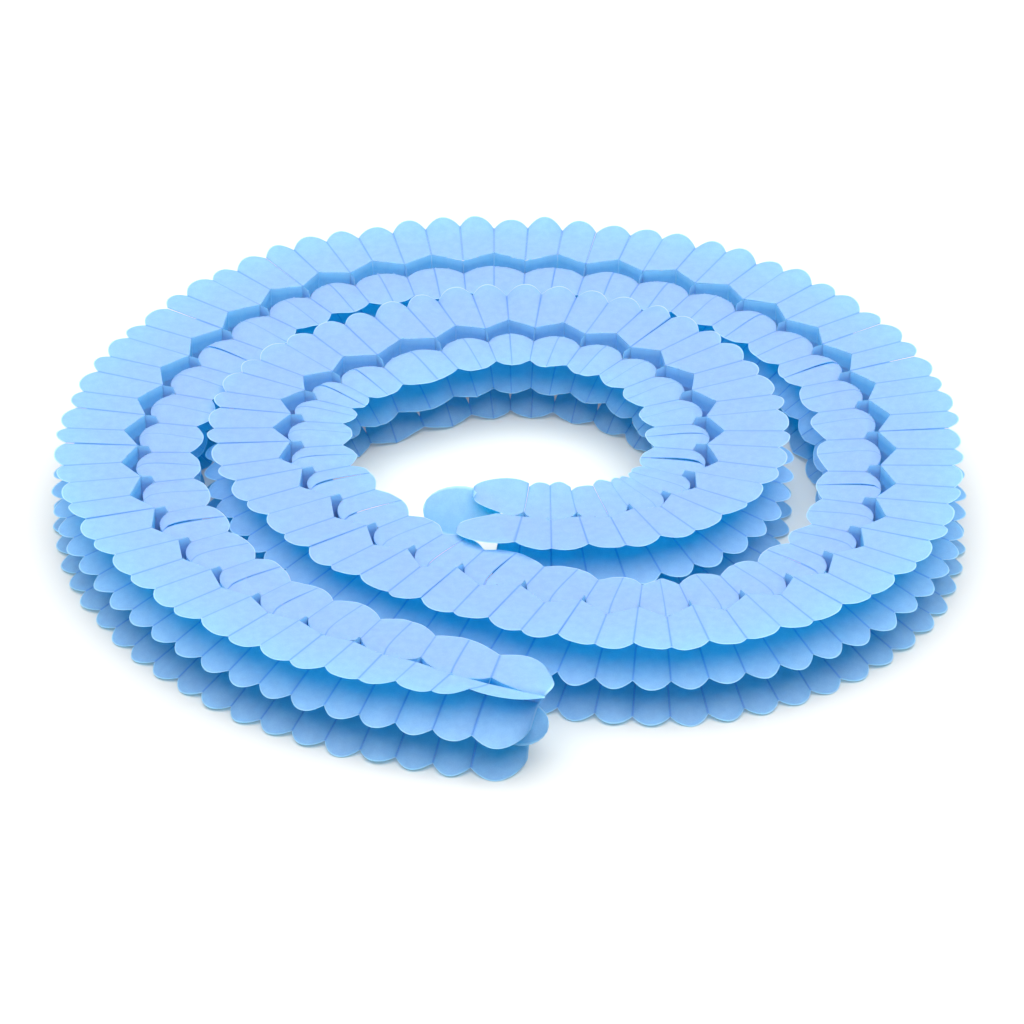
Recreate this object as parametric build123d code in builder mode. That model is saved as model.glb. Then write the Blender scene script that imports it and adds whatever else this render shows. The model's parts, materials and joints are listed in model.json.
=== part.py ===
"""Tissue paper garland: six-petalled sheets glued face to face, lying coiled in two turns."""

import os
from math import cos, floor, radians, sin

from build123d import *

os.makedirs("parts", exist_ok=True)

# Sizes of one sheet, in millimetres
sheet_thickness = 0.4      # stands in for a much thinner tissue
glue_gap = 0.3             # room between two sheets at a seam
petal_width = 36.85        # along the strand, between two notches of the outer edge
petal_crown = 9.0          # how far a petal's round tip stands past its notches
outer_fin = 52.0           # from the wall's corner out to the notches of the outer petals
inner_fin = 41.0           # from the neck in to the notches of the top inner petals
inner_crown = 7.0          # how far an inner lobe stands past its notches
side_spread = 8.0          # the outer petals lie this much longer at the coil's two sides
inner_end_width = 27.0     # the free petals of the first sheet, at the coil's middle
outer_end_width = 52.0     # the free petals of the last sheet
end_bulge = 6.0            # how far the free side of an end petal is rounded

# Sizes of the strip between the petals, which makes the walls of the pockets
neck_width = 14.0          # where two sheets meet back to back
pocket_width = 21.0        # between the two walls, at the middle of an open pocket
wall_lean = 10.0           # the inner wall's corner lies this much farther out than its neck
strip_foot = 24.0          # height of the strip's lower edge

# Heights of the petals: at the strip, and at the edge or tip
strand_height = 88.0
inner_top_drop = 8.0       # the top inner petals lie level, this much below the outer ones
middle_root = 68.0
middle_edge = 47.0
inner_middle_tip = 40.0
lower_root = 34.0
lower_edge = 4.0

# How far the lower inner petals reach
inner_middle_reach = 42.0
inner_lower_reach = 33.0
turn_gap = 4.0             # kept between the lower petals of two turns

# The route of the strand: a radius at every twelfth of a turn, in widths of the strand
inner_top = strand_height - inner_top_drop
outer_reach = pocket_width + wall_lean - neck_width / 2 + outer_fin
inner_reach = neck_width / 2 + inner_fin + inner_crown
strand_width = outer_reach + inner_reach
first_twelfth = -4
radius_shares = [
    0.90, 0.94, 1.09, 1.335, 1.455, 1.61, 1.77, 1.815, 1.725, 1.81, 1.655, 1.505,
    1.60, 1.88, 2.545, 2.83, 2.81, 2.90, 2.935, 2.91, 3.005, 2.89, 2.86, 2.805,
    2.88, 3.06, 3.40, 3.80, 4.00, 4.05, 4.10, 4.10,
]
start_angle = -95.0
walk_step = 0.1            # degrees

# Degrees by which the free top petals of the first sheet spread like a fan
outer_fan = -20.0
inner_fan = 45.0

# Counts
sheets = 126
sheets_in_group = 4
groups = (sheets - 2) // sheets_in_group
inner_closing = 10         # stations over which the pockets open up from the inner end
outer_closing = 16         # stations over which they close again towards the outer end
closed_share = 0.15


def route_radius(angle):
    """Smooth curve through the twelfth-turn radii."""
    place = angle / 30 - first_twelfth
    k = int(floor(place))
    u = place - k
    last = len(radius_shares) - 1
    r0, r1, r2, r3 = [radius_shares[min(max(0, j), last)] for j in (k - 1, k, k + 1, k + 2)]
    bend = 2 * r0 - 5 * r1 + 4 * r2 - r3
    twist = 3 * r1 - r0 - 3 * r2 + r3
    return strand_width * (2 * r1 + (r2 - r0) * u + bend * u * u + twist * u * u * u) / 2


def route_point(angle):
    r = route_radius(angle)
    return Vector(r * cos(radians(angle)), r * sin(radians(angle)))


def route_outward(angle):
    """Unit vector square to the strand, away from the coil's middle."""
    run = (route_point(angle + 0.5) - route_point(angle - 0.5)).normalized()
    return Vector(run.Y, -run.X)


def openness(station):
    """How far the pockets stand open: 1 along the coil, closed towards both ends."""
    opening = min(station / inner_closing, (sheets - station) / outer_closing, 1)
    return closed_share + (1 - closed_share) * max(opening, 0)


def outer_edge(station, outward):
    """Distance from the strand's middle line to the notches of the outer petals."""
    wall = outer_reach - outer_fin - pocket_width * (1 - openness(station))
    return wall + outer_fin + side_spread * outward.X * outward.X


def walk_stations():
    """Angles of the seams, one petal width apart along the strand's outer edge."""
    angles = [start_angle]
    angle = start_angle
    end_steps = {1: inner_end_width, sheets: outer_end_width}
    while len(angles) <= sheets:
        station = len(angles)
        step = end_steps.get(station, petal_width)
        walked = 0
        outward = route_outward(angle)
        last = route_point(angle) + outward * outer_edge(station, outward)
        while walked < step:
            angle += walk_step
            outward = route_outward(angle)
            here = route_point(angle) + outward * outer_edge(station, outward)
            walked += (here - last).length
            last = here
        angles.append(angle)
    return angles


angles = walk_stations()
outwards = [route_outward(a) for a in angles]
edges = [outer_edge(i, outwards[i]) for i in range(sheets + 1)]

# The origin is the middle of the space that the coil covers
tips = [route_point(a) + outwards[i] * (edges[i] + petal_crown) for i, a in enumerate(angles)]
middle_x = (max(tip.X for tip in tips) + min(tip.X for tip in tips)) / 2
middle_y = (max(tip.Y for tip in tips) + min(tip.Y for tip in tips)) / 2
middles = [route_point(a) - Vector(middle_x, middle_y) for a in angles]


def lower_reach(station, usual):
    """Reach of the lower inner petals: as usual in the first turn, the room left in the second."""
    angle = angles[station]
    if angle < 240:
        return usual
    inside = route_radius(angle) - route_radius(angle - 360)
    neighbour = min(range(sheets + 1), key=lambda i: abs(angles[i] - angle + 360))
    room = inside - edges[neighbour] - petal_crown - turn_gap
    return min(max(room, inner_reach / 3), inner_reach)


def seam_place(station, reach, toward):
    """Plan point on a seam line, half a glue gap to the sheet's own side of it."""
    away = (middles[toward] - middles[station]).normalized()
    return middles[station] + outwards[station] * reach + away * glue_gap / 2


def draw_strip(pocket, neck, inner_wall):
    """The strip's outline, a bent band: outer wall and neck, and the lower part's inner wall."""
    wide = pocket_width * openness(pocket)
    corner = wall_lean - neck_width / 2
    half = neck_width / 2
    skin = sheet_thickness
    along = (middles[pocket] - middles[neck]).normalized() * skin
    outer_skin = seam_place(neck, half - skin, pocket) + along
    inner_skin = seam_place(neck, skin - half, pocket) + along
    points = [
        seam_place(pocket, corner + wide, neck),
        seam_place(neck, half, pocket),
        seam_place(neck, -half, pocket),
    ]
    if inner_wall:
        points += [seam_place(pocket, corner, neck), seam_place(pocket, corner + skin, neck), inner_skin]
    else:
        points += [seam_place(neck, -half, pocket) + along]
    points += [outer_skin, seam_place(pocket, corner + wide - skin, neck)]
    with BuildSketch(Plane.XY.offset(strip_foot if inner_wall else inner_top)) as strip:
        with BuildLine():
            Polyline(*[(p.X, p.Y) for p in points], close=True)
        make_face()
    return strip.sketch.face()


def draw_petal(roots, notches, across, crown, heights, free_side=0):
    """
    A petal's outline on its own plane, which tilts down in the direction across the strand.
    roots and notches are the plan points at the two seams, heights are the plane's heights
    at the root and at the notches, and crown is the bulge of the edge between the notches.
    """
    root = (roots[0] + roots[1]) / 2
    edge = (notches[0] + notches[1]) / 2
    along = Vector(-across.Y, across.X)
    if along.dot(roots[1] - roots[0]) < 0:
        along = -along
    reach = across.dot(edge - root)
    slope = (heights[0] - heights[1]) / reach
    place = Plane(
        origin=(root.X, root.Y, heights[0]),
        x_dir=(along.X, along.Y, 0),
        z_dir=(slope * across.X, slope * across.Y, 1),
    )

    def on_plane(p):
        lower = heights[0] - slope * across.dot(p - root)
        spot = place.to_local_coords(Vector(p.X, p.Y, lower))
        return (spot.X, spot.Y)

    run = (notches[1] - notches[0]).normalized()
    out = Vector(run.Y, -run.X)
    if out.dot(edge - root) < 0:
        out = -out
    tip = edge + out * crown
    with BuildSketch(place) as petal:
        with BuildLine():
            Line(on_plane(roots[1]), on_plane(roots[0]))
            Line(on_plane(roots[0]), on_plane(notches[0]))
            ThreePointArc(on_plane(notches[0]), on_plane(tip), on_plane(notches[1]))
            if free_side:
                side = (notches[1] + roots[1]) / 2 + along * free_side
                ThreePointArc(on_plane(notches[1]), on_plane(side), on_plane(roots[1]))
            else:
                Line(on_plane(notches[1]), on_plane(roots[1]))
        make_face()
    return petal.sketch.face()


def fan_out(notches, turn):
    """The notches of a top petal of the first sheet, the free one turned about the seam's middle."""
    return [notches[0], middles[0] + (notches[1] - middles[0]).rotate(Axis.Z, turn)]


def draw_petals(pocket, neck, free_side):
    """The six petals of the sheet that runs between a pocket's middle and a neck."""
    half = neck_width / 2
    corner = wall_lean - half
    skin = sheet_thickness / 2
    wide = pocket_width * openness(pocket)
    turned = free_side and pocket not in (0, sheets)
    first, second = (pocket, neck) if turned else (neck, pocket)

    def pair(at_pocket, at_neck):
        places = {pocket: seam_place(pocket, at_pocket, neck), neck: seam_place(neck, at_neck, pocket)}
        return [places[first], places[second]]

    outer_roots = pair(corner + wide - skin, half - skin)
    outer_notches = pair(edges[pocket], edges[neck])
    inner_roots = pair(corner + skin, skin - half)
    flat = strand_height
    out = (outwards[pocket] + outwards[neck]).normalized()
    petals = [
        draw_petal(outer_roots, outer_notches, out, petal_crown, heights, free_side)
        for heights in ((middle_root, middle_edge), (lower_root, lower_edge))
    ]
    if pocket == 0:
        outer_notches = fan_out(outer_notches, outer_fan)
    petals += [draw_petal(outer_roots, outer_notches, out, petal_crown, (flat, flat), free_side)]

    lobe = inner_crown * min(pocket / inner_closing, 1)
    notch = half + inner_fin
    crown = inner_crown / 4 + (petal_crown - inner_crown / 4) * (1 - lobe / inner_crown)
    top_notches = pair(-notch - lobe, -notch)
    if pocket == 0:
        top_notches = fan_out(top_notches, inner_fan)
    heights = (inner_top, inner_top)
    petals += [draw_petal(inner_roots, top_notches, -out, crown, heights, free_side)]
    middle = lower_reach(pocket, inner_middle_reach)
    middle_notches = pair(-middle, inner_crown - middle)
    heights = (middle_root, inner_middle_tip)
    petals += [draw_petal(inner_roots, middle_notches, -out, inner_crown / 4, heights, free_side)]
    lower = lower_reach(neck, inner_lower_reach)
    lower_notches = pair(inner_crown - lower, -lower)
    heights = (lower_root, lower_edge)
    petals += [draw_petal(inner_roots, lower_notches, -out, inner_crown / 4, heights, free_side)]
    return petals


def draw_seams(sheet):
    """Stations of a sheet: even ones are the middles of pockets, odd ones are necks."""
    return (sheet, sheet + 1) if sheet % 2 == 0 else (sheet + 1, sheet)


def build_sheets(name, members):
    """One node: some neighbouring sheets, each a solid of its own."""
    petals = []
    for sheet in members:
        free_side = end_bulge if sheet in (0, sheets - 1) else 0
        petals += draw_petals(*draw_seams(sheet), free_side)
    with BuildPart() as node:
        extrude([draw_strip(*draw_seams(sheet), True) for sheet in members], amount=inner_top - strip_foot)
        extrude([draw_strip(*draw_seams(sheet), False) for sheet in members], amount=inner_top_drop)
        extrude(petals, amount=-sheet_thickness)
        split(bisect_by=Plane.XY, keep=Keep.TOP)
    node.part.label = name
    export_step(node.part, f"parts/{name}.step")
    return node.part


build_sheets("inner_end_sheet", [0])
for group in range(groups):
    start = 1 + group * sheets_in_group
    build_sheets(f"sheets_{group + 1:02d}", range(start, start + sheets_in_group))
build_sheets("outer_end_sheet", [sheets - 1])
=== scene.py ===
"""Pale blue tissue garland, coiled in two turns: thin flower-shaped sheets glued petal to petal."""

import json
from math import cos, radians, sin

import bpy
import numpy as np
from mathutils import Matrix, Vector

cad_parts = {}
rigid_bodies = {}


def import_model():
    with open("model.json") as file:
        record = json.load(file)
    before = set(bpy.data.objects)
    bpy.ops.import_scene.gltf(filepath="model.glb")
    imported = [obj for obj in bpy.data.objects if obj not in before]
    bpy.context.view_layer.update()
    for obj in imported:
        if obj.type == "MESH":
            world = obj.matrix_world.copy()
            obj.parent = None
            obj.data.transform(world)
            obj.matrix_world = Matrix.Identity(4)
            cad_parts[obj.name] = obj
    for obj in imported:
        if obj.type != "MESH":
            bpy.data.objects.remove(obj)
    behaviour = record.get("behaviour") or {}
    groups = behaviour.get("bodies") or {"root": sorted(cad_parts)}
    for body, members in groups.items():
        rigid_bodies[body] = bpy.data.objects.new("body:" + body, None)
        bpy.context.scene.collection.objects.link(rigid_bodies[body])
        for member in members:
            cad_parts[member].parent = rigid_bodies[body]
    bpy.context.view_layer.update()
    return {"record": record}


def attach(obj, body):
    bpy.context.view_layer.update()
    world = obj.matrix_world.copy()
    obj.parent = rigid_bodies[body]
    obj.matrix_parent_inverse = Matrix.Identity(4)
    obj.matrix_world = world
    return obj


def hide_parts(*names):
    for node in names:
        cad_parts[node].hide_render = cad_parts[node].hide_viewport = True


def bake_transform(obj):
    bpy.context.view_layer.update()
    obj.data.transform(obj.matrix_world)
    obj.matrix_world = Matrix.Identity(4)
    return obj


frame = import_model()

# Sizes of one sheet, in metres, as the solids have them
mm = 0.001
petal_width = 36.85 * mm
inner_end_width = 27 * mm      # of the first sheet's petals, which are free on one side
outer_end_width = 52 * mm      # and of the last sheet's
outer_fin = 52 * mm            # an outer petal, from the strip to its notches
inner_fin = 41 * mm
petal_crown = 9 * mm           # round edge past the notches
inner_crown = 7 * mm
side_spread = 8 * mm           # the outer petals are longer at the coil's left and right
neck_width = 14 * mm
pocket_width = 21 * mm
wall_lean = 10 * mm
strand_height = 88 * mm
inner_top_drop = 8 * mm
inner_level = strand_height - inner_top_drop
strip_foot = 24 * mm
middle_root = 68 * mm          # heights of the middle and lower petals, at the strip and the edge
middle_edge = 47 * mm
inner_middle_tip = 40 * mm
lower_root = 34 * mm
lower_edge = 4 * mm
inner_middle_reach = 42 * mm   # how far in from the middle line the hanging inner petals go
inner_lower_reach = 33 * mm
turn_gap = 4 * mm              # left free between two turns

# The strand's route: a radius at every twelfth of a turn, in widths of the strand
outer_reach = pocket_width + wall_lean - neck_width / 2 + outer_fin
inner_reach = neck_width / 2 + inner_fin + inner_crown
strand_width = outer_reach + inner_reach
twelfth = 30                   # degrees
full_turn = 360
first_twelfth = -4
radius_shares = np.array([
    0.90, 0.94, 1.09, 1.335, 1.455, 1.61, 1.77, 1.815, 1.725, 1.81, 1.655, 1.505,
    1.60, 1.88, 2.545, 2.83, 2.81, 2.90, 2.935, 2.91, 3.005, 2.89, 2.86, 2.805,
    2.88, 3.06, 3.40, 3.80, 4.00, 4.05, 4.10, 4.10,
])
start_angle = -95.0
second_turn = 240              # from this angle on the strand lies around its own first turn
walk_step = 0.1
walk_steps = 8000
sheets = 126
sheets_in_group = 4
inner_closing = 10             # seams over which the pockets close towards each end
outer_closing = 16
closed_share = 0.15            # what is left of a pocket's width at an end
outer_fan = radians(-20)       # the first sheet's free petals spread
inner_fan = radians(45)

# How the paper curves away from the flat solids
paper = 0.25 * mm
lobe = 9.5 * mm                # the round edge of a top petal, past its notches
hanging_lobe = 12.5 * mm       # the rounder edges of the middle and lower outer petals
inner_lobe = 11 * mm           # the double lobes of the top inner petals
ridge = 3.4 * mm               # the outer petals rise from the pockets' seams to the necks'
curl = 7 * mm                  # the petal tips at the coil's back curl up
dome = 5 * mm                  # the top inner petals roll over from the pocket's rim
swell = 3.5 * mm               # the hanging outer petals are rounded between their seams
inner_swell = 0.8 * swell      # and the inner ones a little less
drop = 5 * mm                  # the round edges hang lower than their notches
lift = 10 * mm                 # the inner petals at the inner end stand up
side_draw = 2 * mm             # the top outer petals are shorter at the coil's left and right
pocket_notch = 1 * mm          # their notches reach further at the pockets and less at the necks
neck_notch = 1.7 * mm
inner_notch = neck_width / 2 + inner_fin - 2 * mm
edge_heights = (1 * mm, 1.8 * mm)   # the middle and lower outer notches lie this much higher
closing_rise = 0.7 * inner_top_drop  # the top inner petals rise where the pockets close
seam_gap = 0.3                 # the lower inner petals part at the top of the pocket's seam,
gap_length = 0.68              # down to this share of their length
rim_shift = 5 * mm             # the inner wall's rim closes the pocket a little,
more_shift = 9 * mm            # more so at the coil's front
lowest = 0.3 * mm              # all the paper stays above this height

# The two end sheets, whose petals are free on one side
first_outer_turn = radians(-25)     # the first sheet's petals spread a little more
first_inner_turn = radians(17)
first_lobe = 6 * mm                 # its top inner one is rounder,
sag = 3 * mm                        # its top outer one is longer and hangs at its free corner
longer = 6 * mm
outer_side = 11 * mm                # the free edges swell
inner_sides = {0: 12 * mm, sheets: 6 * mm}
corner_share = 0.6                  # the free corners are rounded over this share of the width
top_rounding, rounding = 0.28, 0.45
last_stub = 4 * mm                  # the last top outer petal narrows to this at its free side
lean = np.array([42, 18]) * mm      # the outer end's top leans out and on along the strand
lean_start = 118
lean_power = 3
edge_hold = 1.2                     # the top outer petals' edges don't follow it
# A loose petal: its place along the strand, out and up from the end's seam, then half its
# length, half its width and its tilt
first_loose = (np.array([-44.6, -15.0, 72]) * mm, 40 * mm, 27 * mm, radians(45))
last_loose = (np.array([-7.5, 37.0, 48]) * mm, 28 * mm, 22 * mm, radians(60))
loose_bow = 3 * mm

# Small differences between seams and between petals
notch_reach, notch_height = 0.6 * mm, 0.5 * mm
edge_reach, edge_height = 0.7 * mm, 0.9 * mm
puff_share = 0.15
ripple = 0.35 * mm
nib_places = (0.04, 0.5, 0.95, 2.05, 2.5, 2.95)   # on the strip's torn rim, which runs from 0 to 3
nib_width = 0.05
nib_height = 2 * mm
fuzz = 0.25 * mm

# Marks for the paint, as shares of a petal's width or length
seam_share = 0.0012            # half a glue line
glue_and_shade_share = 0.03              # the deeper colour beside it: the glue's double paper, and painted shade in the seam's groove
free_seam_lacks = 0.8                # and how much of that colour a free seam lacks
rim_share = 0.02               # the edge band, paler as a painted highlight

# Fineness of the grids
petal_columns, petal_rows, loose_rows = 15, 11, 13
wall_columns, neck_columns, strip_rows = 26, 9, 8

# Colours of the pulp's clouds, deepest and palest, of the glue lines, deeper also as painted shade
# in their grooves, and of the edges, paler as a painted highlight
lit_colours = ("#C6CDE5", "#D0D5EB", "#98BEE8", "#EAF4FF")
shine_through_colours = ("#3CDCF8", "#48E4FC", "#24C0F6", "#C0F0FF")
shine_through = 0.62
floor_lit, floor_seen, floor_glow = "#7C7C7C", "#CBC5BE", 0.15
white = (1, 1, 1, 1)
fill = (0.06, 0.17, 0.25, 1)

# Light and camera
sun_strength, sun_width, sun_turn = 5.2, radians(80), radians(7)
camera_target = Vector((0.00333, 0.02102, 0))
camera_above = radians(32)
camera_distance = 6.0
camera_lens = 204.8

# Every random number comes from this seed
chance = np.random.default_rng(11)


def route(angle):
    """Points of the strand's middle line, a smooth curve through the radii, at some degrees."""
    angle = np.asarray(angle, float)
    place = angle / twelfth - first_twelfth
    k = np.floor(place).astype(int)
    u = place - k
    last = len(radius_shares) - 1
    r0, r1, r2, r3 = (radius_shares[np.clip(k + j, 0, last)] for j in (-1, 0, 1, 2))
    bend = 2 * r0 - 5 * r1 + 4 * r2 - r3
    twist = 3 * r1 - r0 - 3 * r2 + r3
    r = strand_width * (2 * r1 + (r2 - r0) * u + bend * u**2 + twist * u**3) / 2
    around = np.radians(angle)
    return np.stack([r * np.cos(around), r * np.sin(around)], -1)


def outward(angle):
    """Unit vectors square to the strand, away from the coil's middle."""
    run = route(np.asarray(angle) + 0.5) - route(np.asarray(angle) - 0.5)
    run /= np.linalg.norm(run, axis=-1, keepdims=True)
    return np.stack([run[..., 1], -run[..., 0]], -1)


def openness(station):
    """How far the pockets stand open: 1 along the coil, closed towards both ends."""
    opening = min(station / inner_closing, (sheets - station) / outer_closing, 1)
    return closed_share + (1 - closed_share) * max(opening, 0)


def outer_edge(station, away):
    """Distance from the middle line to the notches of the outer petals."""
    wall = outer_reach - outer_fin - pocket_width * (1 - openness(station))
    return wall + outer_fin + side_spread * away[..., 0] ** 2


def walk_stations():
    """Angles of the seams, a petal width apart along the strand's outer edge."""
    fine = start_angle + walk_step * np.arange(walk_steps)
    places, away = route(fine), outward(fine)
    index = 0
    angles = [start_angle]
    for station in range(1, sheets + 1):
        step = {1: inner_end_width, sheets: outer_end_width}.get(station, petal_width)
        edge = places[index:] + away[index:] * outer_edge(station, away[index:])[:, None]
        walked = np.cumsum(np.linalg.norm(np.diff(edge, axis=0), axis=1))
        index += int(np.argmax(walked >= step)) + 1
        angles.append(fine[index])
    return np.array(angles)


angles = walk_stations()
outs = outward(angles)
runs = np.stack([-outs[:, 1], outs[:, 0]], -1)
edges = np.array([outer_edge(i, outs[i]) for i in range(sheets + 1)])
tips = route(angles) + outs * (edges + petal_crown)[:, None]
middles = route(angles) - (tips.max(0) + tips.min(0)) / 2

# Differences between seams are shared by both sheets. One row for each kind of petal.
kinds = ("outer_top", "inner_top", "outer_middle", "inner_middle", "outer_lower", "inner_lower")
seam_wobble = np.clip(chance.standard_normal((len(kinds), sheets + 1)), -2, 2)
petal_wobble = np.clip(chance.standard_normal((len(kinds), sheets, 3)), -2, 2)


def lower_reach(station, usual):
    """Reach of the hanging inner petals: as usual in the first turn, then the room that is left."""
    if angles[station] < second_turn:
        return usual
    before = angles[station] - full_turn
    inside = np.linalg.norm(route(angles[station])) - np.linalg.norm(route(before))
    neighbour = int(np.argmin(np.abs(angles - before)))
    room = inside - edges[neighbour] - hanging_lobe - turn_gap
    return min(max(room, inner_reach / 3), inner_reach)


def rotated(vector, angle):
    """A plan vector turned by an angle."""
    x, y = vector
    return np.array([x * cos(angle) - y * sin(angle), x * sin(angle) + y * cos(angle)])


def between(pair, u):
    """Straight from the value at the pocket's seam to the one at the neck's."""
    return pair[0] + (pair[1] - pair[0]) * u


def clear_of_seams(u):
    """Places from seam to seam, half a glue line clear of both, as one row of a grid."""
    return (seam_share + (1 - 2 * seam_share) * u)[None, :]


def columns(count):
    """Places between two seams, closer together at the seams."""
    even = np.linspace(0, 1, count)
    return clear_of_seams(0.5 * (0.5 - 0.5 * np.cos(np.pi * even)) + 0.5 * even)


def rows(count):
    """Places from a petal's root to its edge, with a line close to the edge."""
    places = np.linspace(0, 1, count)
    return np.append(places[:-1], [1 - rim_share, 1])[:, None]


def round_edge(u, power=2.3):
    """A lobe between two notches: 1 in the middle, 0 at the seams, rounder with a higher power."""
    return 1 - np.abs(2 * u - 1) ** power


def arch(v, start):
    """The swelling of a hanging petal, from its root to its edge."""
    return np.sin(np.pi * (start + 0.7 * v))


def leaning(station, height):
    """The share of the outer end's lean at a seam and height."""
    share = np.clip((station - lean_start) / (sheets - lean_start), 0, 1) ** lean_power
    up = np.clip((height - strip_foot) / (strand_height - strip_foot), 0, 1.1) ** 1.5
    return share * up


class Tissue:
    """Grids of one piece, gathered into a single mesh with marks for the paint and a UV map."""

    def __init__(self):
        self.points, self.faces, self.rims, self.seams, self.maps = [], [], [], [], []
        self.count = 0

    def add(self, grid, rim, seam, uv, facing):
        """A grid of points, high by wide, with its faces turned to the facing side."""
        high, wide = grid.shape[:2]
        index = np.arange(high * wide).reshape(high, wide) + self.count
        corners = [index[:-1, :-1], index[:-1, 1:], index[1:, 1:], index[1:, :-1]]
        quads = np.stack(corners, -1).reshape(-1, 4)
        row, column = high // 2, wide // 2
        across = grid[row, column] - grid[row - 1, column]
        along = grid[row, column] - grid[row, column - 1]
        self.faces.append(quads[:, ::-1] if np.cross(along, across) @ facing < 0 else quads)
        self.points.append(grid.reshape(-1, 3))
        self.rims.append(np.broadcast_to(rim, (high, wide)).reshape(-1))
        self.seams.append(np.broadcast_to(seam, (high, wide)).reshape(-1))
        self.maps.append(uv.reshape(-1, 2))
        self.count += high * wide

    def make(self, name, material):
        """The object: one mesh with the thickness of the paper."""
        points = np.concatenate(self.points)
        faces = np.concatenate(self.faces)
        mesh = bpy.data.meshes.new(name)
        mesh.vertices.add(len(points))
        mesh.vertices.foreach_set("co", points.astype(np.float32).ravel())
        mesh.loops.add(faces.size)
        mesh.loops.foreach_set("vertex_index", faces.astype(np.int32).ravel())
        mesh.polygons.add(len(faces))
        mesh.polygons.foreach_set("loop_start", np.arange(0, faces.size, 4, dtype=np.int32))
        for label, values in (("rim", self.rims), ("seam", self.seams)):
            layer = mesh.attributes.new(label, "FLOAT", "POINT")
            layer.data.foreach_set("value", np.concatenate(values).astype(np.float32))
        uv = mesh.uv_layers.new(name="UVMap")
        spread = np.concatenate(self.maps)[faces.ravel()]
        uv.data.foreach_set("uv", spread.astype(np.float32).ravel())
        mesh.update(calc_edges=True)
        mesh.validate()
        mesh.polygons.foreach_set("use_smooth", np.ones(len(faces), bool))
        piece = bpy.data.objects.new(name, mesh)
        bpy.context.scene.collection.objects.link(piece)
        mesh.materials.append(material)
        skin = piece.modifiers.new("paper", "SOLIDIFY")
        skin.thickness = paper
        skin.offset = -1
        smooth = piece.modifiers.new("flat_faces_lead", "WEIGHTED_NORMAL")
        smooth.weight = 100
        return piece


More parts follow.
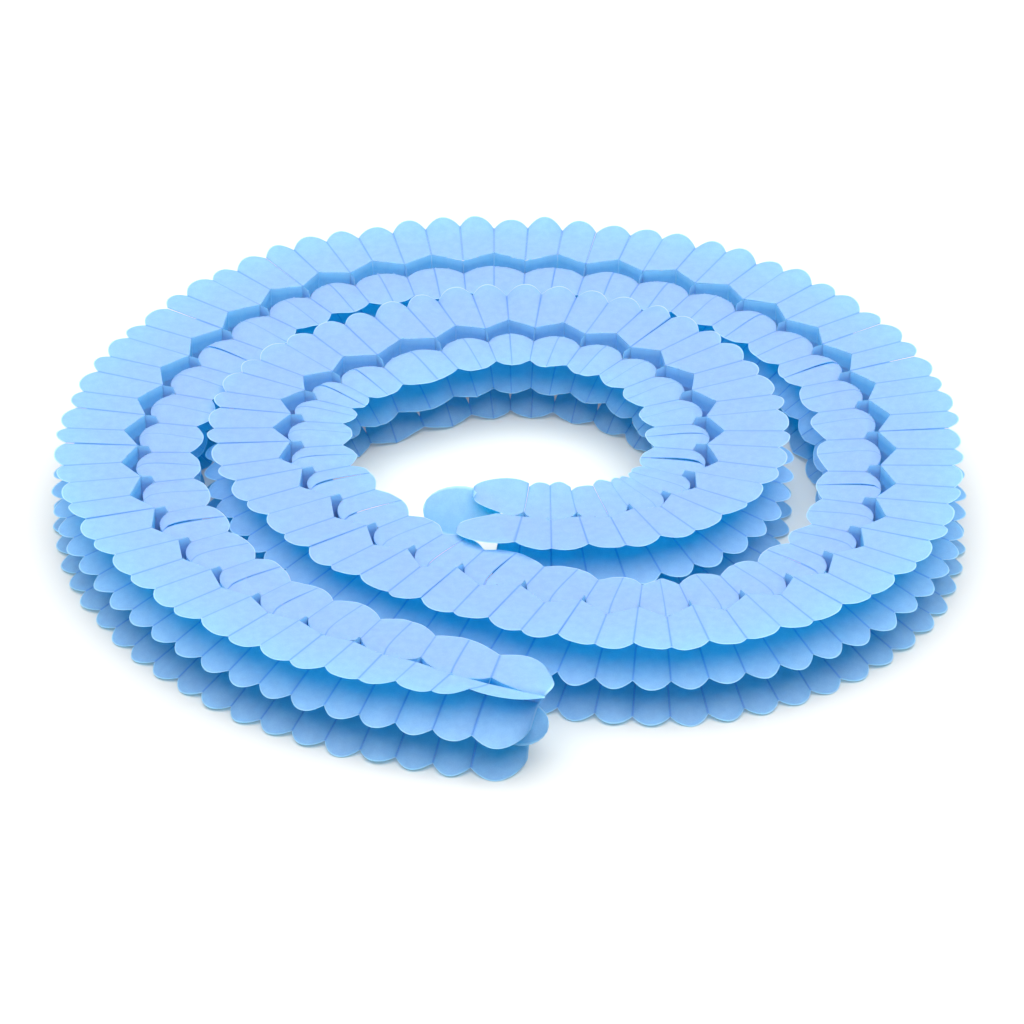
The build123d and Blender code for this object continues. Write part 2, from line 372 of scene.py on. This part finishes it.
class Sheet:
    """The sheet between a pocket's middle and a neck: even stations are pockets, odd ones necks."""

    def __init__(self, number):
        self.number = number
        self.pocket, self.neck = (number, number + 1) if number % 2 == 0 else (number + 1, number)
        self.inner_end = number == 0
        self.outer_end = self.pocket == sheets
        self.free = self.inner_end or self.outer_end
        self.wide = pocket_width * openness(self.pocket)
        self.corner = wall_lean - neck_width / 2
        self.away = (outs[self.pocket] + outs[self.neck]) / 2
        self.closed = 1 - min(self.pocket / inner_closing, 1)
        opened = (openness(self.pocket) - closed_share) / (1 - closed_share)
        self.inner_top = inner_level + closing_rise * (1 - opened)

    def spots(self, u, reach, height, fan=0.0, side=0.0, hold=1.0):
        """
        Points on the sheet. In plan they lie on straight lines from seam to seam: u runs from the
        pocket's seam to the neck's, and reach is the distance out from the middle line. Fan turns
        the pocket's line, side swells the sheet past it, and hold is the share of the outer end's
        lean that a free petal follows.
        """
        low = middles[self.pocket] + rotated(outs[self.pocket], fan) * reach[..., None]
        high = middles[self.neck] + outs[self.neck] * reach[..., None]
        plan = low + (high - low) * u[..., None]
        for station, share in ((self.pocket, 1 - u), (self.neck, u)):
            held = 1 if station == sheets else hold
            much = (leaning(station, height) * share * held)[..., None]
            plan = plan + much * (lean[0] * outs[station] + lean[1] * runs[station])
        away = middles[self.pocket] - middles[self.neck]
        plan = plan + (away / np.linalg.norm(away)) * np.asarray(side)[..., None]
        return np.concatenate([plan, height[..., None]], -1)

    def outer_wall(self, u):
        """The outer wall runs straight from the pocket's far side to the neck."""
        return between((self.corner + self.wide, neck_width / 2), u)

    def inner_wall(self, u, height):
        """The inner wall's rim bows into the pocket: a 2.5th power between pocket and neck."""
        up = np.clip((height - strip_foot) / (inner_level - strip_foot), 0, 1)
        shift = rim_shift + more_shift * max(0, -self.away[1])
        bow = self.corner + shift * self.wide / pocket_width * up
        return bow - (bow + neck_width / 2) * u**2.5

    def petal(
        self, tissue, kind, root, edge, top, tip, bulge, fan=0.0, side=0.0, gap=0.0, hold=0.0,
    ):
        """
        A petal: reach and height go in straight lines from the root (root, top) to the edge (edge,
        tip), values or functions of u, and bulge is added to the height as a function of u and v.
        A gap opens the pocket's seam at the root. A free petal rounds off its free corner with a
        quarter of an ellipse. Towards the edge a petal with a hold follows the lean less.
        """
        k = kinds.index(kind)
        u, v = columns(petal_columns), rows(petal_rows)
        u = u * np.ones_like(v)
        u = u + (1 - u) * gap * np.maximum(0, 1 - v / gap_length)
        root, edge, top, tip = (
            f(u) if callable(f) else f * np.ones_like(u) for f in (root, edge, top, tip)
        )
        sign = np.sign(edge.mean() - root.mean())
        notch = between(seam_wobble[k, [self.pocket, self.neck]], u)
        size, rock, puff = petal_wobble[k, self.number]
        middle = round_edge(u, 2)
        edge = edge + sign * (notch_reach * notch + edge_reach * size * middle)
        tip = tip + notch_height * notch + edge_height * rock * middle
        if self.free:
            corner = np.clip(1 - u / corner_share, 0, 1)
            much = top_rounding if self.inner_end and kind.endswith("top") else rounding
            edge = edge - (edge - root) * much * (1 - np.sqrt(1 - corner**2))
            side = side * np.sin(np.pi * v**1.3) * (1 - u) ** 1.5
        reach = root + (edge - root) * v
        height = top + (tip - top) * v + bulge(u, v) * (1 + puff_share * puff)
        height = height + ripple * np.sin(7 * u + 5 * v + 9 * puff) * middle * v
        height = np.maximum(height, lowest)
        grid = self.spots(u, reach, height, fan, side, 1 - hold * v)
        # The rim mask places a painted highlight along the petal's edge, and along a free petal's
        # free side
        rim = np.clip((v - 1 + rim_share) / rim_share, 0, 1)
        rim = np.maximum(rim, self.free * np.clip(1 - u / rim_share, 0, 1))
        # The seam mask: glue lines, deepened also as painted shade in the seam's groove; a free
        # seam gets little of it
        seam = np.maximum(1 - u / glue_and_shade_share, 0) * (1 - free_seam_lacks * self.free)
        seam = seam + np.maximum(1 - (1 - u) / glue_and_shade_share, 0)
        uv = np.stack([u * petal_width, reach], -1) + chance.random(2)
        tissue.add(grid, rim, seam, uv, np.array([0, 0, 1.0]))

    def outer_petals(self, tissue):
        """Top, middle and lower outer petal, all with a round edge between two notches."""
        pocket, neck = edges[self.pocket], edges[self.neck]
        draw = side_draw * self.away[0] ** 2
        back = curl * max(0, self.away[1]) ** 2
        reaches = (pocket - draw + pocket_notch + longer * self.inner_end, neck - draw - neck_notch)
        if self.outer_end:
            reaches = (self.corner + self.wide + last_stub, reaches[1])

        def top_shape(u, v):
            rise = ridge * np.sin(np.pi / 2 * u) * (0.25 + 0.75 * v)
            return rise + back * round_edge(u, 2) * v**3

        self.petal(
            tissue, "outer_top", self.outer_wall,
            lambda u: between(reaches, u) + lobe * round_edge(u),
            strand_height, lambda u: strand_height - sag * self.inner_end * (1 - u), top_shape,
            fan=(outer_fan + first_outer_turn) * self.inner_end,
            side=outer_side * self.inner_end, hold=edge_hold,
        )
        heights = ((middle_root, middle_edge), (lower_root, lower_edge))
        for kind, (top, low), more in zip(("outer_middle", "outer_lower"), heights, edge_heights):
            self.petal(
                tissue, kind, self.outer_wall,
                lambda u: between((pocket, neck), u) + hanging_lobe * round_edge(u, 2),
                top, lambda u: low + more - drop * round_edge(u, 2),
                lambda u, v: swell * np.sin(np.pi * u) ** 0.8 * arch(v, 0.12),
            )

    def inner_petals(self, tissue):
        """
        Top, middle and lower inner petal. Top and middle ones make double lobes with the tip at
        the pocket's seam, the lower ones with the tip at the neck's.
        """
        opened = 1 - self.closed

        def top_edge(u):
            single = self.closed * lobe + first_lobe * self.inner_end
            return -inner_notch - opened * inner_lobe * (1 - u**2.2) - single * round_edge(u)

        def top_shape(u, v):
            over = dome * (0.3 + 0.7 * opened) * np.sin(np.pi * np.sqrt(v))
            return over * np.cos(np.pi / 2 * u) ** 0.8 + lift * self.closed * v**2

        self.petal(
            tissue, "inner_top", lambda u: self.inner_wall(u, inner_level), top_edge,
            self.inner_top, self.inner_top, top_shape,
            fan=(inner_fan + first_inner_turn) * self.inner_end,
            side=inner_sides.get(self.pocket, 0),
        )
        if self.free:
            self.loose_petal(tissue, *(first_loose if self.inner_end else last_loose))
        else:
            middle = lower_reach(self.pocket, inner_middle_reach)
            self.petal(
                tissue, "inner_middle", lambda u: self.inner_wall(u, middle_root),
                lambda u: -middle + inner_crown * u**2.2,
                middle_root, lambda u: inner_middle_tip - drop * (1 - u**2.2),
                lambda u, v: inner_swell * np.cos(np.pi / 2 * u) ** 0.8 * arch(v, 0.1),
            )
        lower = lower_reach(self.neck, inner_lower_reach)
        self.petal(
            tissue, "inner_lower", lambda u: self.inner_wall(u, lower_root),
            lambda u: -lower + inner_crown * (1 - u) ** 2.2,
            lower_root, lambda u: lower_edge - drop / 2 + drop * (1 - u) ** 2.2,
            lambda u, v: inner_swell * np.sin(np.pi * u) ** 0.7 * arch(v, 0.1),
            gap=seam_gap * (not self.free),
        )

    def loose_petal(self, tissue, place, half_length, half_width, tilt):
        """
        The middle inner petal of an end sheet, which swings out and faces the viewer: an ellipse
        about its place, tilted about its length and bowed across it.
        """
        u = np.linspace(-1, 1, petal_columns)[None, :]
        v = np.linspace(0.03, 0.97, loose_rows)[:, None]
        along = -np.cos(np.pi * v) * half_length * np.ones_like(u)
        across = u * np.sin(np.pi * v) * half_width
        bow = loose_bow * (1 - u**2) * np.sin(np.pi * v)
        sign = -1 if self.inner_end else 1
        spot = np.stack([
            place[0] + sign * along,
            place[1] - across * cos(tilt) + bow * sin(tilt),
            place[2] + across * sin(tilt) + bow * cos(tilt),
        ], -1)
        plan = spot[..., :1] * runs[self.pocket] + spot[..., 1:2] * outs[self.pocket]
        grid = np.concatenate([middles[self.pocket] + plan, spot[..., 2:]], -1)
        # Painted highlight all round the loose petal's edge
        rim = np.maximum(np.abs(u) > 0.99, (v < 0.04) | (v > 0.96)).astype(float)
        uv = np.stack([along, across], -1)
        tissue.add(grid, rim, 0 * rim, uv, np.array([0, 0, 1.0]))

    def strip(self, tissue):
        """
        The band between the petals: outer wall, neck and inner wall in one run, upright from the
        strip's foot to the torn rim, which has small nibs near its folds.
        """
        counts = (wall_columns, neck_columns, wall_columns)
        steps = [np.linspace(k, k + 1, n, endpoint=False) for k, n in enumerate(counts)]
        along = np.append(np.concatenate(steps), 3)
        outer, inner = along < 1, along > 2
        u = clear_of_seams(np.where(outer, along, np.where(inner, 3 - along, 1)))
        nibs = fuzz * np.abs(chance.standard_normal(len(along)))
        for place in nib_places:
            here = place + nib_width * chance.standard_normal()
            size = nib_height * chance.random() ** 1.5
            nibs = nibs + size * np.maximum(0, 1 - np.abs(along - here) / nib_width)
        fall = np.clip((along - 1.8) / 0.2, 0, 1)
        top = strand_height + (self.inner_top - strand_height) * fall + nibs
        depth = np.linspace(0, 1, strip_rows)[:, None]
        height = top + (strip_foot - top) * depth
        u = u * np.ones_like(depth)
        across = neck_width / 2 - (along - 1) * neck_width
        inside = np.where(inner, self.inner_wall(u, height), across)
        grid = self.spots(u, np.where(outer, self.outer_wall(u), inside), height)
        uv = np.stack([along * 30 * mm + 0 * depth, height], -1) + chance.random(2)
        # Painted highlight along the strip's top rim, and a fainter one along the outer wall's fold
        # at the pocket's seam
        rim = np.maximum(0.8 * (depth < 0.01), 0.5 * (along < 0.03))
        tissue.add(grid, rim, 0 * rim, uv, np.append(self.away, 0))

    def build(self, tissue):
        """All of the sheet. The order of the parts is the order of the random numbers."""
        self.outer_petals(tissue)
        self.inner_petals(tissue)
        self.strip(tissue)


def linear(code):
    """An sRGB hex colour as linear values."""
    parts = [int(code[k:k + 2], 16) / 255 for k in (1, 3, 5)]
    return tuple(p / 12.92 if p <= 0.04045 else ((p + 0.055) / 1.055) ** 2.4 for p in parts) + (1,)


def new_material(name):
    """A material with an empty tree."""
    material = bpy.data.materials.new(name)
    material.use_nodes = True
    material.node_tree.nodes.clear()
    return material, material.node_tree


def node(tree, kind, settings=None, **links):
    """Add one node, set its values and link its inputs."""
    made = tree.nodes.new(kind)
    for name, value in (settings or {}).items():
        if hasattr(made, name):
            setattr(made, name, value)
        else:
            made.inputs[int(name) if name.isdigit() else name].default_value = value
    for name, source in links.items():
        slot = name.replace("_", " ").strip()
        tree.links.new(source, made.inputs[int(slot) if slot.isdigit() else slot])
    return made


def blended(tree, factor, first, second):
    """A blend from one colour to another, the first a colour or a node's output."""
    made = node(tree, "ShaderNodeMix", {"data_type": "RGBA"}, Factor=factor)
    if isinstance(first, tuple):
        made.inputs["A"].default_value = first
    else:
        tree.links.new(first, made.inputs["A"])
    made.inputs["B"].default_value = second
    return made.outputs["Result"]


def tissue_paper():
    """Dyed tissue paper, matt and thin: light comes through it. Its edges get a painted highlight,
    and its glue lines a deeper colour that is partly painted shade.
    """
    material, tree = new_material("dyed_tissue_paper")
    place = node(tree, "ShaderNodeTexCoord").outputs["Object"]
    # Pulp clouds of about 8 mm and fibres of about 1 mm, the finest that show
    clouds = node(tree, "ShaderNodeTexNoise", {"Scale": 125.0, "Detail": 3.0}, Vector=place)
    fibres = node(tree, "ShaderNodeTexNoise", {"Scale": 900.0, "Detail": 2.0}, Vector=place)
    both = node(
        tree, "ShaderNodeMath", {"operation": "ADD"},
        _0=clouds.outputs["Fac"], _1=fibres.outputs["Fac"],
    )
    ramp = node(
        tree, "ShaderNodeMapRange", {"From Min": 0.75, "From Max": 1.25}, Value=both.outputs[0],
    )
    rim = node(tree, "ShaderNodeAttribute", {"attribute_name": "rim"}).outputs["Fac"]
    seam = node(tree, "ShaderNodeAttribute", {"attribute_name": "seam"}).outputs["Fac"]

    def shade(low, high, glue_and_shade, edge_highlight):
        """Clouds between two colours, deeper on the glue lines, partly as painted shade, and paler
        on the edges as a painted highlight.
        """
        paint = blended(tree, ramp.outputs[0], linear(low), linear(high))
        return blended(tree, rim, blended(tree, seam, paint, linear(glue_and_shade)), linear(edge_highlight))

    bump = node(
        tree, "ShaderNodeBump", {"Strength": 0.2, "Distance": 0.0002}, Height=both.outputs[0],
    )
    front = node(
        tree, "ShaderNodeBsdfPrincipled", {"Roughness": 0.85, "Specular IOR Level": 0.2},
        Base_Color=shade(*lit_colours), Normal=bump.outputs["Normal"],
    )
    glow = node(tree, "ShaderNodeBsdfTranslucent", {}, Color=shade(*shine_through_colours))
    mix = node(
        tree, "ShaderNodeMixShader", {"0": shine_through}, _1=front.outputs[0], _2=glow.outputs[0],
    )
    node(tree, "ShaderNodeOutputMaterial", {}, Surface=mix.outputs[0])
    return material


def seen_rays(tree):
    """1 for rays that show the background: direct, mirrored or passing through; 0 for others."""
    path = node(tree, "ShaderNodeLightPath").outputs
    seen = path["Is Camera Ray"]
    for kind in ("Is Glossy Ray", "Is Transmission Ray"):
        both = node(tree, "ShaderNodeMath", {"operation": "MAXIMUM"}, _0=seen, _1=path[kind])
        seen = both.outputs[0]
    return seen


def floor_paint():
    """
    White studio floor, matt. Seen directly it also glows a little, so that only the shadow close
    to the paper shows, and it throws back less light than it shows, as a floor far away would.
    """
    material, tree = new_material("white_floor")
    seen = seen_rays(tree)
    glow = node(tree, "ShaderNodeMapRange", {"To Min": 0.0, "To Max": floor_glow}, Value=seen)
    paint = node(
        tree, "ShaderNodeBsdfPrincipled", {"Roughness": 0.9, "Specular IOR Level": 0.1},
        Base_Color=blended(tree, seen, linear(floor_lit), linear(floor_seen)),
        Emission_Strength=glow.outputs[0],
    )
    paint.inputs["Emission Color"].default_value = white
    node(tree, "ShaderNodeOutputMaterial", {}, Surface=paint.outputs[0])
    return material


def make_pieces():
    """One piece for each node of the frame, riding on its body, or, for a node that bends between
    bodies, fixed in place.
    """
    material = tissue_paper()
    bodies = frame["record"]["behaviour"]["bodies"]
    joints = frame["record"]["behaviour"]["joints"]
    body_of = {name: body for body, names in bodies.items() for name in names}
    bending = {j["deforming_nodes"][0]["node"]: (j["parent"], j["child"]) for j in joints}
    members = {"inner_end_sheet": [0], "outer_end_sheet": [sheets - 1]}
    for group in range((sheets - 2) // sheets_in_group):
        first = 1 + group * sheets_in_group
        members[f"sheets_{group + 1:02d}"] = range(first, first + sheets_in_group)
    for name, numbers in members.items():
        tissue = Tissue()
        for number in numbers:
            Sheet(number).build(tissue)
        piece = tissue.make("tissue_" + name, material)
        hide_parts(name)
        if name in bending:
            # The group's two end points, reversed when the child is the inner bend or tip; nothing
            # uses them, and the piece keeps its place without a bend
            parent, child = bending[name]
            ends = [middles[numbers[0]], middles[numbers[-1] + 1]]
            if child in ("inner_bend", "inner_tip"):
                ends.reverse()
            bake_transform(piece)
        else:
            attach(piece, body_of[name])


def make_stage():
    """White floor, soft light from above and the camera."""
    bpy.ops.mesh.primitive_plane_add(size=40, location=(0, 0, 0))
    floor = bpy.context.object
    floor.name = "floor"
    floor.data.materials.append(floor_paint())

    # White where it is seen, and a weak, pale blue fill for the paper
    world = bpy.data.worlds.new("studio")
    bpy.context.scene.world = world
    world.use_nodes = True
    tree = world.node_tree
    background = tree.nodes["Background"].inputs
    tree.links.new(blended(tree, seen_rays(tree), fill, white), background["Color"])
    background["Strength"].default_value = 1.0

    light = bpy.data.lights.new("soft_overhead", "SUN")
    light.energy, light.angle = sun_strength, sun_width
    lamp = bpy.data.objects.new("soft_overhead", light)
    lamp.rotation_euler = (sun_turn, 0, 0)
    bpy.context.scene.collection.objects.link(lamp)

    camera = bpy.data.objects.new("camera", bpy.data.cameras.new("camera"))
    camera.data.sensor_width = 36
    camera.data.lens = camera_lens
    back, up = camera_distance * cos(camera_above), camera_distance * sin(camera_above)
    camera.location = camera_target + Vector((0, -back, up))
    view = camera_target - camera.location
    camera.rotation_euler = view.to_track_quat("-Z", "Y").to_euler()
    bpy.context.scene.collection.objects.link(camera)
    bpy.context.scene.camera = camera
    bpy.context.scene.view_settings.view_transform = "Standard"


make_pieces()
make_stage()
